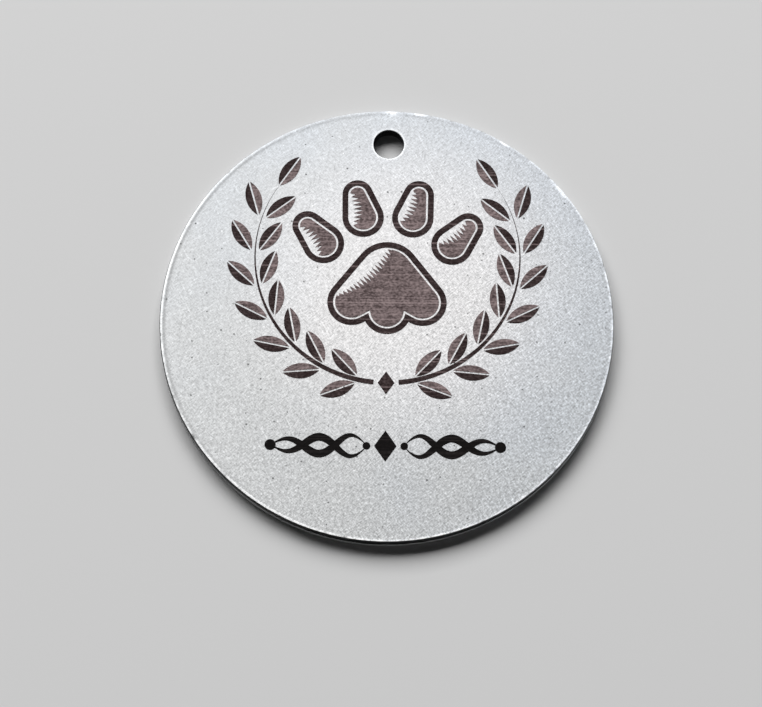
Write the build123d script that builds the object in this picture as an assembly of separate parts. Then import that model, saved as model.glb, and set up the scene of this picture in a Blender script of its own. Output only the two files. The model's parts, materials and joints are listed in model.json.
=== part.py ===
from build123d import *
from math import asin, atan, cos, degrees, pi, radians, sin, sqrt
import os

# A round pet tag blanked from stainless sheet, pierced once for a split ring and
# laser-marked on one face with a paw print between two sprigs, over a scroll.
# Millimetres and degrees. +Z points out of the marked face, +Y points to the
# ring hole, and the origin is the centre of the back face.

# Blank
TAG_DIAMETER = 30.0
TAG_THICKNESS = 1.0
RIM_ROUND = 0.08  # die roll round the rim of the marked face
BACK_BREAK = 0.08  # broken edge round the rim of the back face
HOLE_DIAMETER = 2.0
HOLE_WALL = 1.4  # steel left between the ring hole and the rim
HOLE_BREAK = 0.06  # broken edge at both mouths of the ring hole

# Laser marking
MARK_THICKNESS = 0.02  # burnt oxide that stands on the face
ART_MARGIN = 1.5  # bare steel between the artwork and the rim
ART_HOLE_GAP = 1.6  # bare steel between the ring hole and the toes

# Paw print, drawn about the centre of the heel pad's dome. The sizes of the paw print,
# the sprigs and the scroll are the drawing's, which is then scaled to fit the tag.
HEEL_DOME_RADIUS = 2.4
HEEL_LOBE_RADIUS = 1.75
HEEL_LOBE_SPREAD = 2.55  # side lobes out from the middle
HEEL_LOBE_DROP = 2.2  # side lobes below the dome
HEEL_MIDDLE_DROP = 2.85  # middle lobe below the dome
HEEL_LIT_DEPTH = 1.2  # bare steel on the lit side of the heel pad
TOE_LENGTH = 4.4
TOE_WIDTH = 3.0
TOE_TIP_WIDTH = 2.2
TOE_LIT_DEPTH = 0.9  # bare steel on the lit side of a toe
TOE_GAP = 0.6  # bare steel between the pads
TOE_FAN_DROP = 3.2  # point that the toes fan out from, below the dome
OUTER_TOE_DROP = 0.55  # outer toes drawn in along the fan
OUTLINE_WIDTH = 0.42  # dark line round each pad
OUTLINE_GAP = 0.14  # bare line between the outline and the tone
HATCH_LENGTH = 0.7  # hatching strokes that fade into the lit side
HATCH_PITCH = 0.3

# Sprigs, drawn on one circle round the paw print
SPRIG_RISE = 1.3  # centre of the circle above the dome's centre
SPRIG_PAW_GAP = 0.45  # bare steel between the outer toes and the inner leaves
SPRIG_SWEEP = 124.0  # from straight down to the end of the stem
STEM_WIDTH = 0.36
LEAF_PAIRS = 7
LEAF_LENGTH = 2.6
LEAF_WIDTH = 1.15
LEAF_ANGLE = 34.0  # leaf to stem
LEAF_GAP = 0.06  # bare steel between a leaf and its stem
MIDRIB_GAP = 0.12  # bare line down the middle of a leaf
KNOT_WIDTH = 1.2
KNOT_HEIGHT = 1.7
KNOT_GAP = 0.3  # bare steel between the knot and the stems

# Scroll under the sprigs
SCROLL_GAP = 2.4  # bare steel between the sprigs and the scroll
SCROLL_WIDTH = 17.2
SCROLL_HEIGHT = 2.3
SCROLL_STROKE = 0.58  # widest part of a stroke
SCROLL_LOOP = 2.25  # length of one loop between two crossings of the strokes
SCROLL_FADE = 0.55  # share of the loops' height that is lost by the end
LOOP_POINTS = 4
LOZENGE_WIDTH = 1.6
LOZENGE_GAP = 0.27  # bare steel between the lozenge and the beads
BEAD_DIAMETER = 0.55  # joins the strokes beside the lozenge
BALL_DIAMETER = 0.8  # joins the strokes at their outer end

TAG_RADIUS = TAG_DIAMETER / 2
HOLE_RADIUS = HOLE_DIAMETER / 2
HOLE_CENTRE = TAG_RADIUS - HOLE_WALL - HOLE_RADIUS


def hull(*circles):
    """Face inside a tight band round the circles, each given as (x, y, radius)."""
    return make_hull([(Pos(x, y) * Circle(radius)).edge() for x, y, radius in circles])


def outline(*points):
    """Face with straight sides through the points."""
    return make_face(Polyline(*points, close=True))


def mirrored(sketch):
    """The same marks on the other side of the tag's centre line."""
    return mirror(sketch, about=Plane.YZ)


def pierced_hole():
    """Ring hole as one turned profile, with a broken edge at both mouths."""
    mouth = HOLE_RADIUS + HOLE_BREAK
    profile = outline(
        (0, 0),
        (mouth, 0),
        (HOLE_RADIUS, HOLE_BREAK),
        (HOLE_RADIUS, TAG_THICKNESS - HOLE_BREAK),
        (mouth, TAG_THICKNESS),
        (0, TAG_THICKNESS),
    )
    return Pos(0, HOLE_CENTRE) * revolve(Plane.XZ * profile, Axis.Z)


def blank():
    """Disc turned from a section with a rounded and a broken rim corner, then pierced."""
    section = Pos(TAG_RADIUS / 2, TAG_THICKNESS / 2) * Rectangle(TAG_RADIUS, TAG_THICKNESS)
    section = fillet(section.vertices().group_by(Axis.X)[-1].sort_by(Axis.Y)[-1], RIM_ROUND)
    section = chamfer(section.vertices().group_by(Axis.Y)[0].sort_by(Axis.X)[-1], BACK_BREAK)
    return revolve(Plane.XZ * section, Axis.Z) - pierced_hole()


def lit_side(start, end, depth):
    """Saw-toothed patch to cut from a tone, so that its hatching fades into bare steel.

    The teeth stand on a bow on the right of the line from start to end, as deep as given
    at its middle, and the patch reaches as far out on the left of that line.
    """
    chord = end - start
    left = chord.normalized().rotate(Axis.Z, 90)
    steps = 2 * round(chord.length / HATCH_PITCH)
    teeth = []
    for step in range(steps + 1):
        share = step / steps
        bow = 4 * share * (1 - share)
        reach = depth if step % 2 else depth - HATCH_LENGTH
        teeth.append(start + chord * share - left * reach * bow)
    return outline(*teeth, end + left * depth, start + left * depth)


def heel_pad(inset):
    """Dome joined to three lobes under it, drawn in from its edge by the inset."""
    dome = (0, 0, HEEL_DOME_RADIUS - inset)
    lobe_radius = HEEL_LOBE_RADIUS - inset
    left = hull(dome, (-HEEL_LOBE_SPREAD, -HEEL_LOBE_DROP, lobe_radius))
    middle = hull(dome, (0, -HEEL_MIDDLE_DROP, lobe_radius))
    return left + middle + mirrored(left)


def heel_tone():
    """Tone inside the heel pad, bare along the flank from the left lobe over the dome."""
    edge = OUTLINE_WIDTH + OUTLINE_GAP
    lobe = Vector(-HEEL_LOBE_SPREAD, -HEEL_LOBE_DROP)
    along = -lobe.normalized()
    left = along.rotate(Axis.Z, 90)
    start = lobe + left * (HEEL_LOBE_RADIUS - edge) - along * HEEL_LOBE_RADIUS / 2
    end = left * (HEEL_DOME_RADIUS - edge) + along * HEEL_DOME_RADIUS
    return heel_pad(edge) - lit_side(start, end, HEEL_LIT_DEPTH)


toe_tip = TOE_LENGTH - TOE_WIDTH / 2 - TOE_TIP_WIDTH / 2
toe_ring = TOE_FAN_DROP + HEEL_DOME_RADIUS + TOE_GAP + TOE_WIDTH / 2
toe_step = 2 * degrees(asin((TOE_WIDTH / 2 + TOE_GAP / 2) / toe_ring))


def toe_pad(inset):
    """Egg with its blunt end at the origin and its tip along +Y, drawn in by the inset."""
    return hull((0, 0, TOE_WIDTH / 2 - inset), (0, toe_tip, TOE_TIP_WIDTH / 2 - inset))


def toe_tone():
    """Tone inside a toe pad, bare along its left side."""
    edge = OUTLINE_WIDTH + OUTLINE_GAP
    start = Vector(edge - TOE_WIDTH / 2, -TOE_WIDTH / 4)
    end = Vector(edge - TOE_TIP_WIDTH / 2, toe_tip + TOE_TIP_WIDTH / 4)
    return toe_pad(edge) - lit_side(start, end, TOE_LIT_DEPTH)


def toe_place(turn, drawn_in):
    """Where a toe stands on the fan, turned clockwise from straight up."""
    return Pos(0, -TOE_FAN_DROP) * Rot(0, 0, -turn) * Pos(0, toe_ring - drawn_in)


toe_places = [
    toe_place(-1.5 * toe_step, OUTER_TOE_DROP),
    toe_place(-0.5 * toe_step, 0),
    toe_place(0.5 * toe_step, 0),
    toe_place(1.5 * toe_step, OUTER_TOE_DROP),
]
outer_tip = (toe_places[-1] * Pos(0, toe_tip)).position
leaf_bulge = (LEAF_WIDTH - MIDRIB_GAP) / 2
leaf_bend = 2 * degrees(atan(2 * leaf_bulge / LEAF_LENGTH))  # edge to midrib, at the leaf's base
leaf_arc = LEAF_LENGTH / (2 * sin(radians(leaf_bend)))  # radius of the leaf's edge
leaf_dip = leaf_arc * (1 - cos(radians(max(0, leaf_bend - LEAF_ANGLE))))
leaf_belly = MIDRIB_GAP / 2 * cos(radians(LEAF_ANGLE)) + leaf_dip  # from the base towards the stem
leaf_offset = STEM_WIDTH / 2 + LEAF_GAP + leaf_belly
leaf_reach = leaf_offset + LEAF_LENGTH * sin(radians(LEAF_ANGLE))
paw_reach = (outer_tip - Vector(0, SPRIG_RISE)).length + TOE_TIP_WIDTH / 2
sprig_radius = paw_reach + SPRIG_PAW_GAP + leaf_reach
stem_start = degrees(asin((KNOT_WIDTH / 2 + KNOT_GAP) / sprig_radius))


def on_circle(turn, radius):
    """Point on the sprigs' circle, turned anticlockwise from straight down."""
    return Vector(radius * sin(radians(turn)), SPRIG_RISE - radius * cos(radians(turn)))


def stem():
    """Bow from beside the knot up the right side, tapering from its full width to a point."""
    middle = (stem_start + SPRIG_SWEEP) / 2
    outer, inner = sprig_radius + STEM_WIDTH / 2, sprig_radius - STEM_WIDTH / 2
    tip = on_circle(SPRIG_SWEEP, sprig_radius)
    return make_face(
        [
            ThreePointArc(on_circle(stem_start, outer), on_circle(middle, outer - STEM_WIDTH / 4), tip),
            ThreePointArc(tip, on_circle(middle, inner + STEM_WIDTH / 4), on_circle(stem_start, inner)),
            Line(on_circle(stem_start, inner), on_circle(stem_start, outer)),
        ]
    )


def leaf_places():
    """Base and heading of each leaf of the right sprig: pairs up the stem, and one at its end."""
    step = (SPRIG_SWEEP - stem_start) / (LEAF_PAIRS + 0.5)
    places = [Pos(on_circle(SPRIG_SWEEP, sprig_radius)) * Rot(0, 0, SPRIG_SWEEP) * Pos(LEAF_GAP, 0)]
    for pair in range(LEAF_PAIRS):
        turn = stem_start + (pair + 0.5) * step
        places.append(Pos(on_circle(turn, sprig_radius + leaf_offset)) * Rot(0, 0, turn - LEAF_ANGLE))
        places.append(Pos(on_circle(turn, sprig_radius - leaf_offset)) * Rot(0, 0, turn + LEAF_ANGLE))
    return places


def half_leaf(side):
    """One half of a pointed leaf along +X: an arc over the midrib, above it (1) or below it (-1)."""
    start, end = (0, side * MIDRIB_GAP / 2), (LEAF_LENGTH, side * MIDRIB_GAP / 2)
    return make_face([SagittaArc(start, end, side * leaf_bulge), Line(end, start)])


def leaves(side):
    """The same half of every leaf of the right sprig."""
    return Sketch() + [place * half_leaf(side) for place in leaf_places()]


def lozenge(width, height):
    """Upright lozenge about the origin."""
    return outline((width / 2, 0), (0, height / 2), (-width / 2, 0), (0, -height / 2))


def wave_stroke(start, length, side):
    """Stroke along a dying sine wave, swelling from a point at its start to a point at its end.

    The wave starts upwards for side 1 and downwards for side -1, and has half a turn for
    each loop that the length holds.
    """
    height = side * (SCROLL_HEIGHT - SCROLL_STROKE) / 2
    loops = round(length / SCROLL_LOOP)
    steps = loops * LOOP_POINTS
    upper, lower = [], []
    for step in range(steps + 1):
        share = step / steps
        phase = pi * loops * share
        fade = 1 - SCROLL_FADE * share
        slope = height * (pi * loops * cos(phase) * fade - SCROLL_FADE * sin(phase)) / length
        across = Vector(-slope, 1).normalized() * SCROLL_STROKE / 2 * sin(pi * share)
        middle = Vector(start + length * share, height * sin(phase) * fade)
        upper.append(middle + across)
        lower.append(middle - across)
    return make_face([Spline(*upper), Spline(*reversed(lower))])


def scroll_side():
    """Right half of the scroll: two waves that cross each other, from a bead to a ball."""
    start = LOZENGE_WIDTH / 2 + LOZENGE_GAP + BEAD_DIAMETER / 2
    end = SCROLL_WIDTH / 2 - BALL_DIAMETER / 2
    twist = wave_stroke(start, end - start, 1) + wave_stroke(start, end - start, -1)
    return twist + Pos(start, 0) * Circle(BEAD_DIAMETER / 2) + Pos(end, 0) * Circle(BALL_DIAMETER / 2)


def drawn_marks():
    """Every mark of the artwork, by name, at the size of the drawing."""
    marks = {
        "heel_pad_outline": heel_pad(0) - heel_pad(OUTLINE_WIDTH),
        "heel_pad_tone": heel_tone(),
    }
    for number, place in enumerate(toe_places, 1):
        marks[f"toe_{number}_outline"] = place * (toe_pad(0) - toe_pad(OUTLINE_WIDTH))
        marks[f"toe_{number}_tone"] = place * toe_tone()
    marks["sprig_knot"] = Pos(on_circle(0, sprig_radius)) * lozenge(KNOT_WIDTH, KNOT_HEIGHT)
    right = {"stem": stem(), "leaves_dark": leaves(-1), "leaves_tone": leaves(1)}
    for name, sketch in right.items():
        marks[f"right_sprig_{name}"] = sketch
        marks[f"left_sprig_{name}"] = mirrored(sketch)
    sprig_bottom = min(sketch.bounding_box().min.Y for sketch in marks.values())
    scroll_place = Pos(0, sprig_bottom - SCROLL_GAP - SCROLL_HEIGHT / 2)
    marks["scroll_lozenge"] = scroll_place * lozenge(LOZENGE_WIDTH, SCROLL_HEIGHT)
    marks["scroll_right"] = scroll_place * scroll_side()
    marks["scroll_left"] = scroll_place * mirrored(scroll_side())
    return marks


def art_scale(marks, paw_top, anchor):
    """Largest scale at which every corner of the artwork keeps ART_MARGIN from the rim.

    The artwork hangs from the top of the paw print, which stays at the height anchor, so
    each corner gives a quadratic in the scale.
    """
    limit = TAG_RADIUS - ART_MARGIN
    scales = []
    for sketch in marks.values():
        for corner in sketch.vertices():
            drop = corner.Y - paw_top
            square = corner.X**2 + drop**2
            half = anchor * drop
            scales.append((sqrt(half**2 - square * (anchor**2 - limit**2)) - half) / square)
    return min(scales)


def placed_marks():
    """Every mark at its size and place on the tag."""
    drawn = drawn_marks()
    paw_top = drawn["toe_2_outline"].bounding_box().max.Y
    anchor = HOLE_CENTRE - HOLE_RADIUS - ART_HOLE_GAP
    factor = art_scale(drawn, paw_top, anchor)
    place = Pos(0, anchor - factor * paw_top)
    return {name: place * scale(sketch, by=factor, about=(0, 0, 0)) for name, sketch in drawn.items()}


nodes = {"tag_disc": blank()}
for name, sketch in placed_marks().items():
    nodes[name] = extrude(Pos(0, 0, TAG_THICKNESS) * sketch, MARK_THICKNESS)

os.makedirs("parts", exist_ok=True)
for name, part in nodes.items():
    part.label = name
    export_step(part, f"parts/{name}.step")
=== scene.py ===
import json
from math import cos, pi, radians, sin

import bpy
import numpy as np
from mathutils import Matrix, Vector


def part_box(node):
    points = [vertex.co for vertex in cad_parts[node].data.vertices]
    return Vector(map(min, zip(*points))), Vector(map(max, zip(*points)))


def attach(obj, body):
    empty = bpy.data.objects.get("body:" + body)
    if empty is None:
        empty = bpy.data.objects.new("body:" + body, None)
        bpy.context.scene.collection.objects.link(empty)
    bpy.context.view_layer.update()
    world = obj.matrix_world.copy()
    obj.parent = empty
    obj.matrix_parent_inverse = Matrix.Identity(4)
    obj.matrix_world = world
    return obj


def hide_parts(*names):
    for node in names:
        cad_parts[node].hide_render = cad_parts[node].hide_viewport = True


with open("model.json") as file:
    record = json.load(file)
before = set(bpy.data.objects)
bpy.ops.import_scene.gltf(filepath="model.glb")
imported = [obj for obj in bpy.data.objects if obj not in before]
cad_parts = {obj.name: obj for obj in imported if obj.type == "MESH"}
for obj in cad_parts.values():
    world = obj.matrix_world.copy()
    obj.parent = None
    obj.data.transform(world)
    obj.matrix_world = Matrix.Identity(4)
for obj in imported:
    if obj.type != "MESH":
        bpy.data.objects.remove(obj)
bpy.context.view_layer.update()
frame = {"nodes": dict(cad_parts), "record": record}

# Tag disc. One blank of stainless sheet, sheared round in a press, pierced for a split ring and
# bead-blasted. It is tumbled in a drum with other blanks, whose knocks scrape its rolled edge bright,
# dent it and raise a faint lip along it. Painted highlight and painted shade are added along that edge.
MM = 0.001
ring_hole = next(mount for mount in frame["record"]["mounts"] if mount["name"] == "ring_hole")
RIM_RADIUS = min(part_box("tag_disc")[1].xy)
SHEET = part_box("tag_disc")[1].z
HOLE_RADIUS = ring_hole["dims"]["r_mm"] * MM
HOLE_CENTRE = ring_hole["pos_m"][1]
HOLE_BREAK = (SHEET - ring_hole["dims"]["length_mm"] * MM) / 2
DIE_ROLL = 0.08 * MM  # round that the press leaves along the edge of the marked face
BACK_BREAK = 0.08 * MM
RIM_BAND = 0.55 * MM  # outer strip of both faces, on rings round the tag's own centre
MOUTH_STRIP = 0.13 * MM  # ring round the hole's mouth that the tumbling scrapes bright
TURNS = 1200


def arc(radius, height, size, start, end, steps):
    """Stations round an arc of the section: radius, height and lean of the surface at each."""
    lean = np.radians(np.linspace(start, end, steps))
    return radius + size * np.cos(lean), height + size * np.sin(lean), lean


def line(radii, heights, lean):
    """Stations along a straight stretch of the section, which leans the same way all along."""
    radii, heights = np.broadcast_arrays(radii, heights)
    return radii, heights, np.full(len(radii), radians(lean))


def smooth(rise):
    """0 up to 0 and 1 from 1 on, with the smooth cubic rise between them."""
    rise = rise.clip(0, 1)
    return rise * rise * (3 - 2 * rise)


def disc_stations():
    """The closed section: share of the way from hole to rim, radius, height and lean of each ring.

    It climbs the hole's wall, turns out of its mouth, crosses the face, rolls over the rim, goes down
    the sheared wall, turns under at the broken edge, crosses the back and turns into the hole again.
    """
    mouth = HOLE_RADIUS + HOLE_BREAK
    worn_ring = mouth + MOUTH_STRIP
    inner_ring = RIM_RADIUS - RIM_BAND
    across = smooth(np.linspace(0, 1, 14)[1:-1])
    crossing = worn_ring + (inner_ring - worn_ring) * across
    hole_wall = np.linspace(HOLE_BREAK, SHEET - HOLE_BREAK, 6)[1:-1]
    rim_strip = np.linspace(inner_ring, RIM_RADIUS - DIE_ROLL, 15)[:-1]
    rim_wall = np.linspace(SHEET - DIE_ROLL, BACK_BREAK, 15)[1:-1]
    stretches = [
        (0, line(HOLE_RADIUS, hole_wall, lean=180)),
        (0, arc(mouth, SHEET - HOLE_BREAK, HOLE_BREAK, start=180, end=90, steps=6)),
        (0, line(np.array([mouth + MOUTH_STRIP / 2, worn_ring]), SHEET, lean=90)),
        (across, line(crossing, SHEET, lean=90)),
        (1, line(rim_strip, SHEET, lean=90)),
        (1, arc(RIM_RADIUS - DIE_ROLL, SHEET - DIE_ROLL, DIE_ROLL, start=90, end=0, steps=11)),
        (1, line(RIM_RADIUS, rim_wall, lean=0)),
        (1, arc(RIM_RADIUS - BACK_BREAK, BACK_BREAK, BACK_BREAK, start=0, end=-90, steps=5)),
        (1, line(np.array([RIM_RADIUS - 2 * BACK_BREAK, inner_ring]), 0, lean=-90)),
        (across[::-2], line(crossing[::-2], 0, lean=-90)),
        (0, line(np.array([worn_ring]), 0, lean=-90)),
        (0, arc(mouth, HOLE_BREAK, HOLE_BREAK, start=270, end=180, steps=5)),
    ]
    shares = [np.broadcast_to(share, stations[0].shape) for share, stations in stretches]
    columns = [np.concatenate(column) for column in zip(*(stations for _, stations in stretches))]
    return np.concatenate(shares), *columns


share, radius, height, lean = disc_stations()
turn = np.linspace(0, 2 * pi, TURNS, endpoint=False)

# Every ring is a circle whose centre and radius slide in step from the hole to the rim, so straight
# lines of equal turn join the two. Turns go clockwise from the ring hole, seen from the marked side.
points = np.empty((len(share), TURNS, 3))
points[..., 0] = np.outer(radius, np.sin(turn))
points[..., 1] = np.outer(radius, np.cos(turn)) + (HOLE_CENTRE * (1 - share))[:, None]
points[..., 2] = height[:, None]
normals = np.empty_like(points)
normals[..., 0] = np.outer(np.cos(lean), np.sin(turn))
normals[..., 1] = np.outer(np.cos(lean), np.cos(turn))
normals[..., 2] = np.sin(lean)[:, None]

# Distance of each ring from the middle of the rolled edge, along the section: below zero on the face.
ELSEWHERE = 1.0  # metres, for the rings that are not near the rim
on_rim = (share == 1) & (height > 0)
along = np.cumsum(np.hypot(np.diff(radius, prepend=radius[0]), np.diff(height, prepend=height[0])))
roll_middle = np.argmin(np.where(on_rim, np.abs(lean - pi / 4), np.inf))
from_roll = np.where(on_rim, along - along[roll_middle], ELSEWHERE)


def round_the_rim(seed, slowest, fastest):
    """Seeded noise round the rim, about -1 to 1: sines with a whole number of waves each, summed."""
    draw = np.random.default_rng(seed)
    waves = np.arange(slowest, fastest)
    heights = draw.normal(size=len(waves)) / np.sqrt(len(waves))
    phases = draw.uniform(0, 2 * pi, len(waves))
    return np.sin(np.outer(turn, waves) + phases) @ heights


def bell(distance, width):
    """Smooth bump of height 1 that dies out over about twice the width."""
    return np.exp(-((distance / width) ** 2))


def rim_bell(degrees_round, reach):
    """Bell along the rim round a place that is given in degrees clockwise from the ring hole."""
    return bell(((turn - radians(degrees_round) + pi) % (2 * pi) - pi) * RIM_RADIUS, reach)


def rim_bells(places):
    """Bells along the rim, one for each (degrees, reach, peak), summed."""
    return sum(peak * rim_bell(degrees_round, reach) for degrees_round, reach, peak in places)


def towards(degrees_round):
    """Cosine round the rim: 1 at a place, in degrees clockwise from the ring hole, -1 opposite it."""
    return np.cos(turn - radians(degrees_round))


# Knocks from other blanks press the rolled edge in: dents are (degrees clockwise from the ring hole,
# half length along the rim, depth). Short dents get painted shade, the more the deeper they are.
DENT_REACH = 0.12 * MM  # dents die out this far from the middle of the rolled edge
WAVE_DEPTH = 0.004 * MM  # unevenness that the tumbling leaves along the rolled edge
SHORT_DENT = 1.0 * MM
DENT_SHADE_DEPTH = 0.04 * MM
dents = [
    (10.8, 0.10 * MM, 0.050 * MM),
    (16.4, 0.16 * MM, 0.036 * MM),
    (21.5, 0.12 * MM, 0.040 * MM),
    (38.8, 0.20 * MM, 0.030 * MM),
    (46.1, 0.16 * MM, 0.066 * MM),
    (61.0, 0.12 * MM, 0.046 * MM),
    (73.6, 0.15 * MM, 0.050 * MM),
    (85.2, 0.12 * MM, 0.040 * MM),
    (132.1, 0.11 * MM, 0.070 * MM),
    (154.6, 0.14 * MM, 0.036 * MM),
    (189.9, 0.20 * MM, 0.046 * MM),
    (194.8, 0.12 * MM, 0.040 * MM),
    (219.0, 4.50 * MM, 0.030 * MM),
    (224.3, 0.12 * MM, 0.040 * MM),
    (237.2, 0.18 * MM, 0.060 * MM),
    (249.1, 0.10 * MM, 0.046 * MM),
    (258.0, 0.13 * MM, 0.040 * MM),
    (266.0, 0.12 * MM, 0.044 * MM),
    (275.5, 0.10 * MM, 0.036 * MM),
    (314.3, 0.13 * MM, 0.060 * MM),
    (343.8, 0.16 * MM, 0.030 * MM),
]
dented = WAVE_DEPTH * (1 + round_the_rim(3, 4, 90)).clip(0) + rim_bells(dents)
# Painted shade in the short dents, darker in deeper ones.
dent_shade = rim_bells(dent for dent in dents if dent[1] < SHORT_DENT) / DENT_SHADE_DEPTH
pressed = np.outer(bell(from_roll, DENT_REACH), dented)

# Bright wear and painted highlight: a strip along the rolled edge, partly tumbling wear and partly a
# painted highlight that is weakest on the hole side, which lies further in or out and is brighter or
# duller at some places (degrees, reach along the rim, change), a ring at the hole's mouth, and scrapes
# (degrees, half length along the rim, reach over the face).
EDGE_STRIP = 0.10 * MM
STRIP_START = 2.05  # the strip begins this many widths inside the middle of the rolled edge
STRIP_END = 0.2 * DIE_ROLL
SCRAPE_START = 1.5  # a scrape begins this many reaches inside it
SCRAPE_DEPTH = 0.012 * MM
SCRAPE_WEAR = 0.75
MOUTH_WEAR = 0.45
strip_shifts = [(56, 5 * MM, -0.07 * MM), (218, 6 * MM, 0.04 * MM)]  # inwards
edge_sheen_changes = [
    (10, 7 * MM, -0.40),
    (56, 5 * MM, 0.30),
    (214, 4 * MM, 0.40),
    (245, 4 * MM, -0.45),
    (283, 6 * MM, 0.30),
]
scrapes = [
    (0.6, 0.36 * MM, 0.30 * MM),
    (8.0, 0.42 * MM, 0.15 * MM),
    (31.1, 0.45 * MM, 0.14 * MM),
    (50.5, 0.70 * MM, 0.24 * MM),
    (68.1, 0.60 * MM, 0.12 * MM),
    (98.2, 0.30 * MM, 0.14 * MM),
    (134.9, 0.24 * MM, 0.12 * MM),
    (206.6, 0.50 * MM, 0.10 * MM),
    (304.2, 0.90 * MM, 0.11 * MM),
]
from_strip = from_roll[:, None] + rim_bells(strip_shifts)
over_face = smooth(STRIP_START + from_strip / EDGE_STRIP) * (from_strip < STRIP_END)
uneven_wear = (0.6 + 0.25 * round_the_rim(11, 5, 120)).clip(0.1, 1)
# The strip's dimming towards the hole side and its listed changes are painted highlight.
edge_wear_and_sheen = uneven_wear * (0.75 - 0.55 * towards(0)) + rim_bells(edge_sheen_changes)
to_strip_end = (HOLE_RADIUS + HOLE_BREAK + MOUTH_STRIP - radius) / MOUTH_STRIP
mouth_wear = MOUTH_WEAR * smooth(to_strip_end) * np.sin(lean).clip(0) * (share == 0)
wear_and_edge_sheen = over_face * edge_wear_and_sheen + mouth_wear[:, None]
for degrees_round, half_length, reach in scrapes:
    over_roll = smooth(SCRAPE_START + from_roll / reach) * (from_roll < DIE_ROLL)
    scraped = np.outer(over_roll, rim_bell(degrees_round, half_length))
    pressed = pressed + SCRAPE_DEPTH * scraped * bell(from_roll, reach)[:, None]
    wear_and_edge_sheen = np.maximum(wear_and_edge_sheen, SCRAPE_WEAR * scraped)

# The sheared wall: a smooth dark band that starts on the rolled edge, where the surface has turned far
# enough from the face, over a torn band with upright striae, which is paler on the side away from the
# hole as painted sheen. Both start higher or lower at some places (degrees, reach along the rim, change);
# the smooth band reaching further up the rolled edge towards the bottom and at 235 degrees is painted
# shade.
TORN_HEIGHT = 0.38 * MM
TORN_DEPTH = 0.014 * MM
TORN_EDGE = 0.06 * MM
TORN_WAVE = 0.02 * MM
STRIA_DEPTH = 0.005 * MM
SHEAR_START = 0.33  # cosine of the lean at which the smooth band starts
SHEAR_FADE = 0.3
PLAIN_TEAR = 0.70
torn_rises = [(122, 6 * MM, 0.28 * MM), (214, 4 * MM, 0.15 * MM)]
front_sheen_on_tear = [(168, 18 * MM, 0.60)]
shear_and_shade_shifts = [(56, 5 * MM, 0.45), (235, 8 * MM, -0.23)]
torn_top = TORN_HEIGHT + TORN_WAVE * round_the_rim(5, 4, 90) + rim_bells(torn_rises)
on_wall = on_rim & (lean < radians(1))
torn = smooth((torn_top - height[:, None]) / TORN_EDGE + 0.5) * on_wall[:, None]
striae = TORN_DEPTH + STRIA_DEPTH * round_the_rim(7, 150, 420).clip(-1.5, 2)
points -= normals * (pressed + torn * striae)[..., None]
# Painted sheen: the torn band is made paler on the side away from the hole.
torn = torn * (PLAIN_TEAR + rim_bells(front_sheen_on_tear))
# Painted shade: the dark band starts earlier on the rolled edge towards the bottom and at 235 degrees.
shear_and_shade_start = SHEAR_START + 0.15 * towards(0) + rim_bells(shear_and_shade_shifts)
shear_fade = np.minimum(SHEAR_FADE, 1 - shear_and_shade_start)
sheared = smooth((np.abs(np.cos(lean))[:, None] - shear_and_shade_start) / shear_fade)

# The faint lip, highest on the left, and painted shade along its foot, most on the left, and in the short
# dents.
LIP_HEIGHT = 0.018 * MM
LIP_WIDTH = 0.17 * MM  # the lip climbs over this width
LIP_INSET = 0.15 * MM  # and reaches its height this far inside the middle of the rolled edge
LIP_SHADE_INSET = LIP_INSET + 0.7 * LIP_WIDTH
LIP_SHADE_WIDTH = 0.11 * MM
DENT_SHADE_INSET = 0.06 * MM
DENT_SHADE_WIDTH = 0.10 * MM
lip = LIP_HEIGHT * (0.58 + 0.36 * towards(-70) + 0.08 * round_the_rim(13, 3, 60)).clip(0, 1)
climb = smooth(1 + (from_roll + LIP_INSET) / LIP_WIDTH) * np.sin(lean).clip(0) * on_rim
points[..., 2] += np.outer(climb, lip)
# Painted shade along the foot of the lip, most on the left.
most_lip_shade = 0.08 + 0.92 * (0.5 + 0.5 * towards(-82)) ** 4
lip_and_dent_shade = np.outer(bell(from_roll + LIP_SHADE_INSET, LIP_SHADE_WIDTH), most_lip_shade)
lip_and_dent_shade = lip_and_dent_shade + np.outer(bell(from_roll + DENT_SHADE_INSET, DENT_SHADE_WIDTH), dent_shade)


def closed_grid(name, grid):
    """Mesh object over a grid of rings by turns that closes on itself both ways, normals outwards."""
    number = np.arange(grid.shape[0] * grid.shape[1]).reshape(grid.shape[:2])
    next_ring = np.roll(number, -1, axis=0)
    quads = np.stack([number, np.roll(number, -1, 1), np.roll(next_ring, -1, 1), next_ring], axis=-1)
    mesh = bpy.data.meshes.new(name)
    mesh.from_pydata(grid.reshape(-1, 3), [], quads.reshape(-1, 4), shade_flat=False)
    made = bpy.data.objects.new(name, mesh)
    bpy.context.scene.collection.objects.link(made)
    return made


tag = closed_grid("blasted_tag", points)
for name, share_of_point in {"wear_and_edge_sheen": wear_and_edge_sheen, "torn": torn, "sheared": sheared, "lip_and_dent_shade": lip_and_dent_shade}.items():
    attribute = tag.data.attributes.new(name, "FLOAT", "POINT")
    attribute.data.foreach_set("value", share_of_point.astype(np.float32).ravel())


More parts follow.
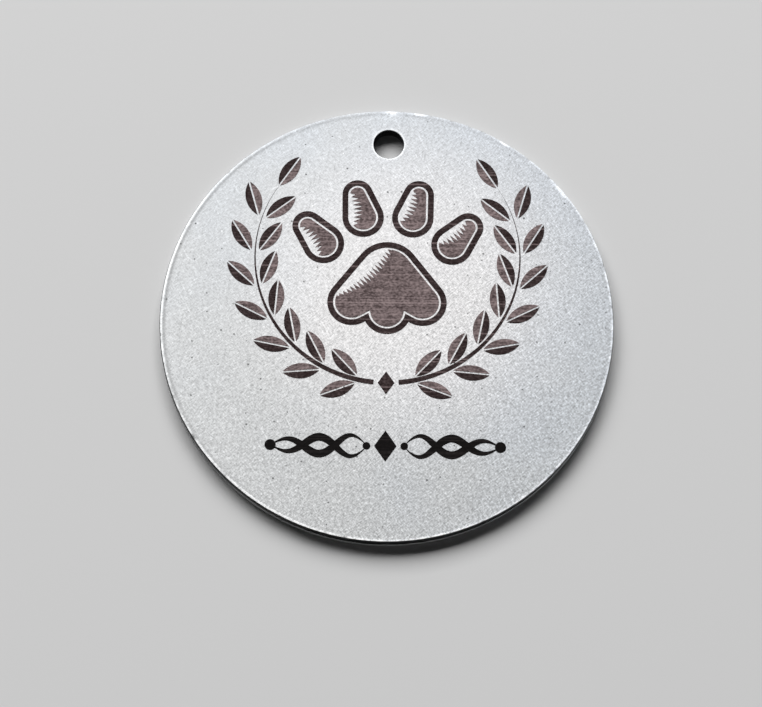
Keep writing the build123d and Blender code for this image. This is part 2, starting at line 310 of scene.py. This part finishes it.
class Wire:
    """An output socket of a material's nodes. Arithmetic on wires and numbers adds Math nodes."""

    def __init__(self, tree, socket=None):
        self.tree = tree
        self.socket = socket

    def node(self, kind, settings, inputs, output=0):
        """Adds a node: its settings are set first, then its inputs to values or links from wires."""
        made = self.tree.nodes.new(kind)
        for name, value in settings.items():
            setattr(made, name, value)
        for name, value in inputs.items():
            if isinstance(value, Wire):
                self.tree.links.new(value.socket, made.inputs[name])
            else:
                made.inputs[name].default_value = value
        return Wire(self.tree, made.outputs[output])

    def math(self, operation, first, second=0.0):
        """A Math node on two wires or numbers."""
        return self.node("ShaderNodeMath", {"operation": operation}, {0: first, 1: second})

    def __add__(self, other):
        return self.math("ADD", self, other)

    def __radd__(self, other):
        return self.math("ADD", other, self)

    def __sub__(self, other):
        return self.math("SUBTRACT", self, other)

    def __rsub__(self, other):
        return self.math("SUBTRACT", other, self)

    def __mul__(self, other):
        return self.math("MULTIPLY", self, other)

    def __rmul__(self, other):
        return self.math("MULTIPLY", other, self)

    def axis(self, name):
        """One of the three numbers of this vector."""
        return self.node("ShaderNodeSeparateXYZ", {}, {"Vector": self}, name)

    def slope(self, middle, along_x, along_y):
        """A number that is middle at this vector's origin and changes evenly along X and Y."""
        return middle + self.axis("X") * along_x + self.axis("Y") * along_y

    def scale(self, factor):
        """This vector or colour times a number."""
        return self.node("ShaderNodeVectorMath", {"operation": "SCALE"}, {"Vector": self, "Scale": factor})

    def distance(self, place):
        """Distance of this vector from a place."""
        return self.node("ShaderNodeVectorMath", {"operation": "DISTANCE"}, {0: self, 1: place}, "Value")

    def fade(self, start, end):
        """0 before start and 1 after end, with a smooth rise between them."""
        limits = {"Value": self, "From Min": start, "From Max": end}
        return self.node("ShaderNodeMapRange", {"interpolation_type": "SMOOTHSTEP"}, limits)

    def noise(self, scale, detail=0.0, stretch=(1, 1, 1), turn_z=0.0):
        """Soft noise from 0 to 1 on this vector, stretched along each axis and then turned about Z."""
        turned = self.node(
            "ShaderNodeMapping",
            {"vector_type": "TEXTURE"},
            {"Vector": self, "Rotation": (0, 0, turn_z), "Scale": stretch},
        )
        return self.node("ShaderNodeTexNoise", {}, {"Vector": turned, "Scale": scale, "Detail": detail})

    def hairs(self, scale, length, degrees, least, edge=0.06):
        """Thin straight lines: where noise, stretched along X and then turned, is above the least."""
        stretched = self.noise(scale, stretch=(length, 1, 1), turn_z=radians(degrees))
        return stretched.fade(least, least + edge)

    def specks(self, scale, share, size):
        """Small round spots of unequal size, in the given share of cells of about 1 / scale."""
        flat = {"voronoi_dimensions": "2D"}
        cells = {"Vector": self, "Scale": scale}
        soft_edge = 0.3 * size * scale
        draw = self.node("ShaderNodeTexVoronoi", flat, cells, "Color").axis("X")
        distance = self.node("ShaderNodeTexVoronoi", flat, cells, "Distance")
        return ((draw - (1 - share)) * (size * scale / share) - distance).fade(0.0, soft_edge)

    def mix(self, first, second):
        """Colour that goes from the first to the second as this wire goes from 0 to 1."""
        return self.node("ShaderNodeMix", {"data_type": "RGBA"}, {0: self, 6: first, 7: second}, 2)


def finish_of(name):
    """New material, its shader, and a wire with the place on the piece in millimetres."""
    made = bpy.data.materials.new(name)
    made.use_nodes = True
    place = Wire(made.node_tree).node("ShaderNodeTexCoord", {}, {}, "Object")
    return made, made.node_tree.nodes["Principled BSDF"], place.scale(1 / MM)


# Tints of the blasted steel: plain, bluer in patches towards the upper right, warmer in the middle.
PLAIN_STEEL = (0.684, 0.692, 0.696, 1)
BLUE_STEEL = (0.668, 0.697, 0.733, 1)
WARM_STEEL = (0.712, 0.701, 0.699, 1)
WARM_MIDDLE = (1.5, 2.5, SHEET / MM)
WARM_INNER = 4.0  # millimetres from that middle
WARM_OUTER = 14.0
STROKE_SCALE = 12.0
STROKE_STRETCH = (3.5, 1, 1)
STEEL_RELIEF = 0.01 * MM


def blasted_steel():
    """Matte grey steel: a tint times a tone, which fades to the wall's own tone where it is sheared.

    The face's tone is 1 plus grain, clouds, painted glints and hairlines, less pits darkened as painted
    shade and scratches, and it is raised by wear with a painted edge highlight, lowered by painted shade
    along the lip's foot and in short dents, and drifts across the tag as painted light, lighter towards
    the upper left and in a middle that is partly painted light. The wall is dark, partly painted shade,
    drifts paler to the right and top as painted light, and is paler if torn, at the front as painted
    sheen.
    """
    made, shader, place = finish_of("blasted_steel")
    links = made.node_tree.links
    wear_and_edge_sheen_share = place.node("ShaderNodeAttribute", {"attribute_name": "wear_and_edge_sheen"}, {}, "Fac")
    torn_and_front_sheen = place.node("ShaderNodeAttribute", {"attribute_name": "torn"}, {}, "Fac")
    lip_and_dent_shade_share = place.node("ShaderNodeAttribute", {"attribute_name": "lip_and_dent_shade"}, {}, "Fac")
    sheared_share = place.node("ShaderNodeAttribute", {"attribute_name": "sheared"}, {}, "Fac")

    grain = 0.5 + (place.noise(scale=11.5) - 0.5) * 0.65
    for direction, depth in [(42, 0.65), (-48, 0.5)]:
        strokes = place.noise(STROKE_SCALE, stretch=STROKE_STRETCH, turn_z=radians(direction))
        grain = grain + (strokes - 0.5) * depth
    clouds = place.noise(scale=0.8, detail=1.0)
    patches = place.noise(scale=0.16, detail=1.0)
    # Pits are darkened as painted shade of small hollows; glints are painted highlights.
    pits = place.specks(scale=1.1, share=0.4, size=0.08) * (1 - wear_and_edge_sheen_share)
    glints = place.specks(scale=1.0, share=0.4, size=0.06)
    hairlines = place.hairs(scale=9.0, length=14, degrees=28, least=0.72)
    hairlines = hairlines + place.hairs(scale=8.0, length=18, degrees=-63, least=0.73)
    scratches = place.hairs(scale=10.0, length=16, degrees=81, least=0.73)
    # The middle is warmer in tint and lighter in tone; its lighter tone is partly painted light.
    warm_lit_middle = 1 - place.distance(WARM_MIDDLE).fade(WARM_INNER, WARM_OUTER)

    grain_depth = place.slope(0.86, along_x=0.012, along_y=-0.017)
    face_tone = 1.0 + (grain - 0.5) * grain_depth + (clouds - 0.5) * 0.06
    face_tone = face_tone - pits * 0.6 + glints * 0.35 + hairlines * 0.08 - scratches * 0.12
    face_tone = face_tone * (1.0 + wear_and_edge_sheen_share * 0.6 - lip_and_dent_shade_share * 0.26)
    # Painted light falloff: the face is lighter towards the upper left and in the middle.
    face_tone = face_tone * (place.slope(1.0, along_x=-0.0055, along_y=0.0045) + warm_lit_middle * 0.16)
    # The wall's dark tone is partly painted shade; its drift paler to the right and towards the hole is
    # painted light.
    wall_tone = place.slope(0.16, along_x=0.008, along_y=0.006) * (0.6 + grain * 0.8) + torn_and_front_sheen * 0.75
    tone = face_tone + sheared_share * (wall_tone - face_tone)

    blueness = place.slope(0.45, along_x=0.024, along_y=0.02) + (patches - 0.5) * 0.8
    steel = blueness.fade(0.0, 1.0).mix(PLAIN_STEEL, BLUE_STEEL)
    steel = (warm_lit_middle * 0.8).mix(steel, WARM_STEEL)
    links.new(steel.scale(tone).socket, shader.inputs["Base Color"])
    links.new((0.55 + sheared_share * 0.45).socket, shader.inputs["Metallic"])

    face_roughness = 0.84 + (grain - 0.5) * 0.2 - wear_and_edge_sheen_share * 0.1 - hairlines * 0.05
    wall_roughness = 0.12 + torn_and_front_sheen * 0.55
    roughness = face_roughness + sheared_share * (wall_roughness - face_roughness)
    links.new(roughness.socket, shader.inputs["Roughness"])
    relief = grain - pits * 3.0 - hairlines * 0.3 - scratches * 0.3
    bump = place.node("ShaderNodeBump", {}, {"Strength": 0.5, "Distance": STEEL_RELIEF, "Height": relief})
    links.new(bump.socket, shader.inputs["Normal"])
    return made


tag.data.materials.append(blasted_steel())
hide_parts("tag_disc")
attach(tag, "root")

# Laser marking. Thin oxide skins that the laser burns onto the blasted face row by row: dark brown
# lines, lighter brown tones whose rows let the steel glint through, and a near-black scroll.
ROW_PITCH = 0.09  # millimetres between the rows
OXIDE_RELIEF = 0.008 * MM


def oxide(name, burnt, thin, thinness, weave_depth, skipped_depth):
    """Matte burnt oxide in rows across the tag: thin spots and skipped rows show the steel below.

    The cover goes from burnt to thin as its mean thinness, the weave, the blotches, each row's own draw
    and the stretches of skipped rows add up.
    """
    made, shader, place = finish_of(name)
    links = made.node_tree.links
    row = place.math("FLOOR", place.axis("Y") * (1 / ROW_PITCH))
    row_draw = place.node("ShaderNodeTexWhiteNoise", {"noise_dimensions": "1D"}, {"W": row}, "Value")
    stretches = place.noise(scale=0.5, detail=1.0, stretch=(4, 1, 1)).fade(0.38, 0.55)
    skipped = row_draw.fade(0.82, 0.92) * stretches
    weave = place.noise(scale=8.0, detail=1.0, stretch=(1.5, 1, 1))
    blotches = place.noise(scale=1.6, detail=1.0)
    cover = thinness + (weave - 0.5) * weave_depth + (blotches - 0.5) * weave_depth * 0.4
    cover = (cover + (row_draw - 0.5) * weave_depth * 0.2 + skipped * skipped_depth).fade(0.0, 1.0)
    links.new(cover.mix(burnt, thin).socket, shader.inputs["Base Color"])
    links.new((cover * 0.4).socket, shader.inputs["Metallic"])
    links.new((0.66 - cover * 0.1).socket, shader.inputs["Roughness"])
    shader.inputs["Specular IOR Level"].default_value = 0.06
    bump = place.node("ShaderNodeBump", {}, {"Strength": 0.4, "Distance": OXIDE_RELIEF, "Height": weave})
    links.new(bump.socket, shader.inputs["Normal"])
    return made


finishes = {
    "dark_oxide": oxide(
        "dark_oxide",
        burnt=(0.018, 0.0095, 0.0095, 1),
        thin=(0.21, 0.16, 0.16, 1),
        thinness=0.20,
        weave_depth=0.6,
        skipped_depth=0.35,
    ),
    "brown_oxide": oxide(
        "brown_oxide",
        burnt=(0.050, 0.034, 0.034, 1),
        thin=(0.27, 0.21, 0.21, 1),
        thinness=0.52,
        weave_depth=1.2,
        skipped_depth=0.18,
    ),
    "black_oxide": oxide(
        "black_oxide",
        burnt=(0.003, 0.0022, 0.0022, 1),
        thin=(0.06, 0.05, 0.05, 1),
        thinness=0.12,
        weave_depth=0.3,
        skipped_depth=0.15,
    ),
}
for subpart in frame["record"]["subparts"]:
    if subpart["material_slot"] in finishes:
        mark = frame["nodes"][subpart["node"]]
        mark.data.materials.clear()
        mark.data.materials.append(finishes[subpart["material_slot"]])

# Stage. A plain pale tabletop that the tag lies on, one broad soft lamp behind it on the left, and a
# dim room whose walls are lighter than its ceiling.
FLOOR_RADIUS = 2.0
FLOOR_DROP = 0.01 * MM
FLOOR_CORNERS = 96
FLOOR_COLOUR = (0.65, 0.65, 0.65, 1)
LAMP_WIDTH = 1.00
LAMP_HEIGHT = 0.55
LAMP_DISTANCE = 0.85
LAMP_RISE = radians(43)
LAMP_SIDE = radians(-12)
LAMP_RADIANCE = 7.1
ROOM_WALLS = (0.32, 0.32, 0.32, 1)
ROOM_CEILING = (0.015, 0.015, 0.015, 1)
CEILING_START = 0.36  # sine of the rise at which the walls have faded into the ceiling

floor_turn = np.linspace(0, 2 * pi, FLOOR_CORNERS, endpoint=False)
floor_points = np.full((FLOOR_CORNERS, 3), -FLOOR_DROP)
floor_points[:, 0] = FLOOR_RADIUS * np.cos(floor_turn)
floor_points[:, 1] = FLOOR_RADIUS * np.sin(floor_turn)
floor_mesh = bpy.data.meshes.new("tabletop")
floor_mesh.from_pydata(floor_points, [], [np.arange(FLOOR_CORNERS)])
floor = bpy.data.objects.new("tabletop", floor_mesh)
bpy.context.scene.collection.objects.link(floor)
floor_finish = bpy.data.materials.new("pale_tabletop")
floor_finish.use_nodes = True
floor_inputs = floor_finish.node_tree.nodes["Principled BSDF"].inputs
floor_inputs["Base Color"].default_value = FLOOR_COLOUR
floor_inputs["Roughness"].default_value = 0.8
floor_inputs["Specular IOR Level"].default_value = 0.1
floor_mesh.materials.append(floor_finish)

towards_lamp = Vector((cos(LAMP_RISE) * sin(LAMP_SIDE), cos(LAMP_RISE) * cos(LAMP_SIDE), sin(LAMP_RISE)))
lamp_data = bpy.data.lights.new("soft_lamp", "AREA")
lamp_data.shape = "RECTANGLE"
lamp_data.size = LAMP_WIDTH
lamp_data.size_y = LAMP_HEIGHT
lamp_data.energy = LAMP_RADIANCE * pi * LAMP_WIDTH * LAMP_HEIGHT
lamp = bpy.data.objects.new("soft_lamp", lamp_data)
lamp.location = towards_lamp * LAMP_DISTANCE
lamp.rotation_mode = "QUATERNION"
lamp.rotation_quaternion = towards_lamp.to_track_quat("Z", "Y")
bpy.context.scene.collection.objects.link(lamp)

world = bpy.data.worlds.new("dim_room")
world.use_nodes = True
skyward = Wire(world.node_tree).node("ShaderNodeTexCoord", {}, {}, "Generated")
room = skyward.axis("Z").fade(0.0, CEILING_START).mix(ROOM_WALLS, ROOM_CEILING)
world.node_tree.links.new(room.socket, world.node_tree.nodes["Background"].inputs["Color"])
bpy.context.scene.world = world
bpy.context.scene.view_settings.view_transform = "Standard"

# Camera. Held in front of the tag and steeply above it, turned and rolled a little, with its aim on
# a point in front of the tag's middle.
CAMERA_DISTANCE = 0.26
CAMERA_RISE = radians(72.025)
CAMERA_TURN = radians(0.644)
CAMERA_ROLL = radians(1.366)
CAMERA_AIM = Vector((-0.3523, -1.972, 0.5)) * MM
CAMERA_LENS = 186.25
CAMERA_NEAR = 0.01

back = Vector(
    (-sin(CAMERA_TURN) * cos(CAMERA_RISE), -cos(CAMERA_TURN) * cos(CAMERA_RISE), sin(CAMERA_RISE))
)
right = Vector((cos(CAMERA_TURN), -sin(CAMERA_TURN), 0))
up = back.cross(right)
rolled_right = right * cos(CAMERA_ROLL) + up * sin(CAMERA_ROLL)
rolled_up = up * cos(CAMERA_ROLL) - right * sin(CAMERA_ROLL)
camera_data = bpy.data.cameras.new("camera")
camera_data.sensor_fit = "HORIZONTAL"
camera_data.lens = CAMERA_LENS
camera_data.clip_start = CAMERA_NEAR
camera = bpy.data.objects.new("camera", camera_data)
bpy.context.scene.collection.objects.link(camera)
camera.matrix_world = Matrix.Translation(CAMERA_AIM + back * CAMERA_DISTANCE) @ (
    Matrix((rolled_right, rolled_up, back)).transposed().to_4x4()
)
bpy.context.scene.camera = camera
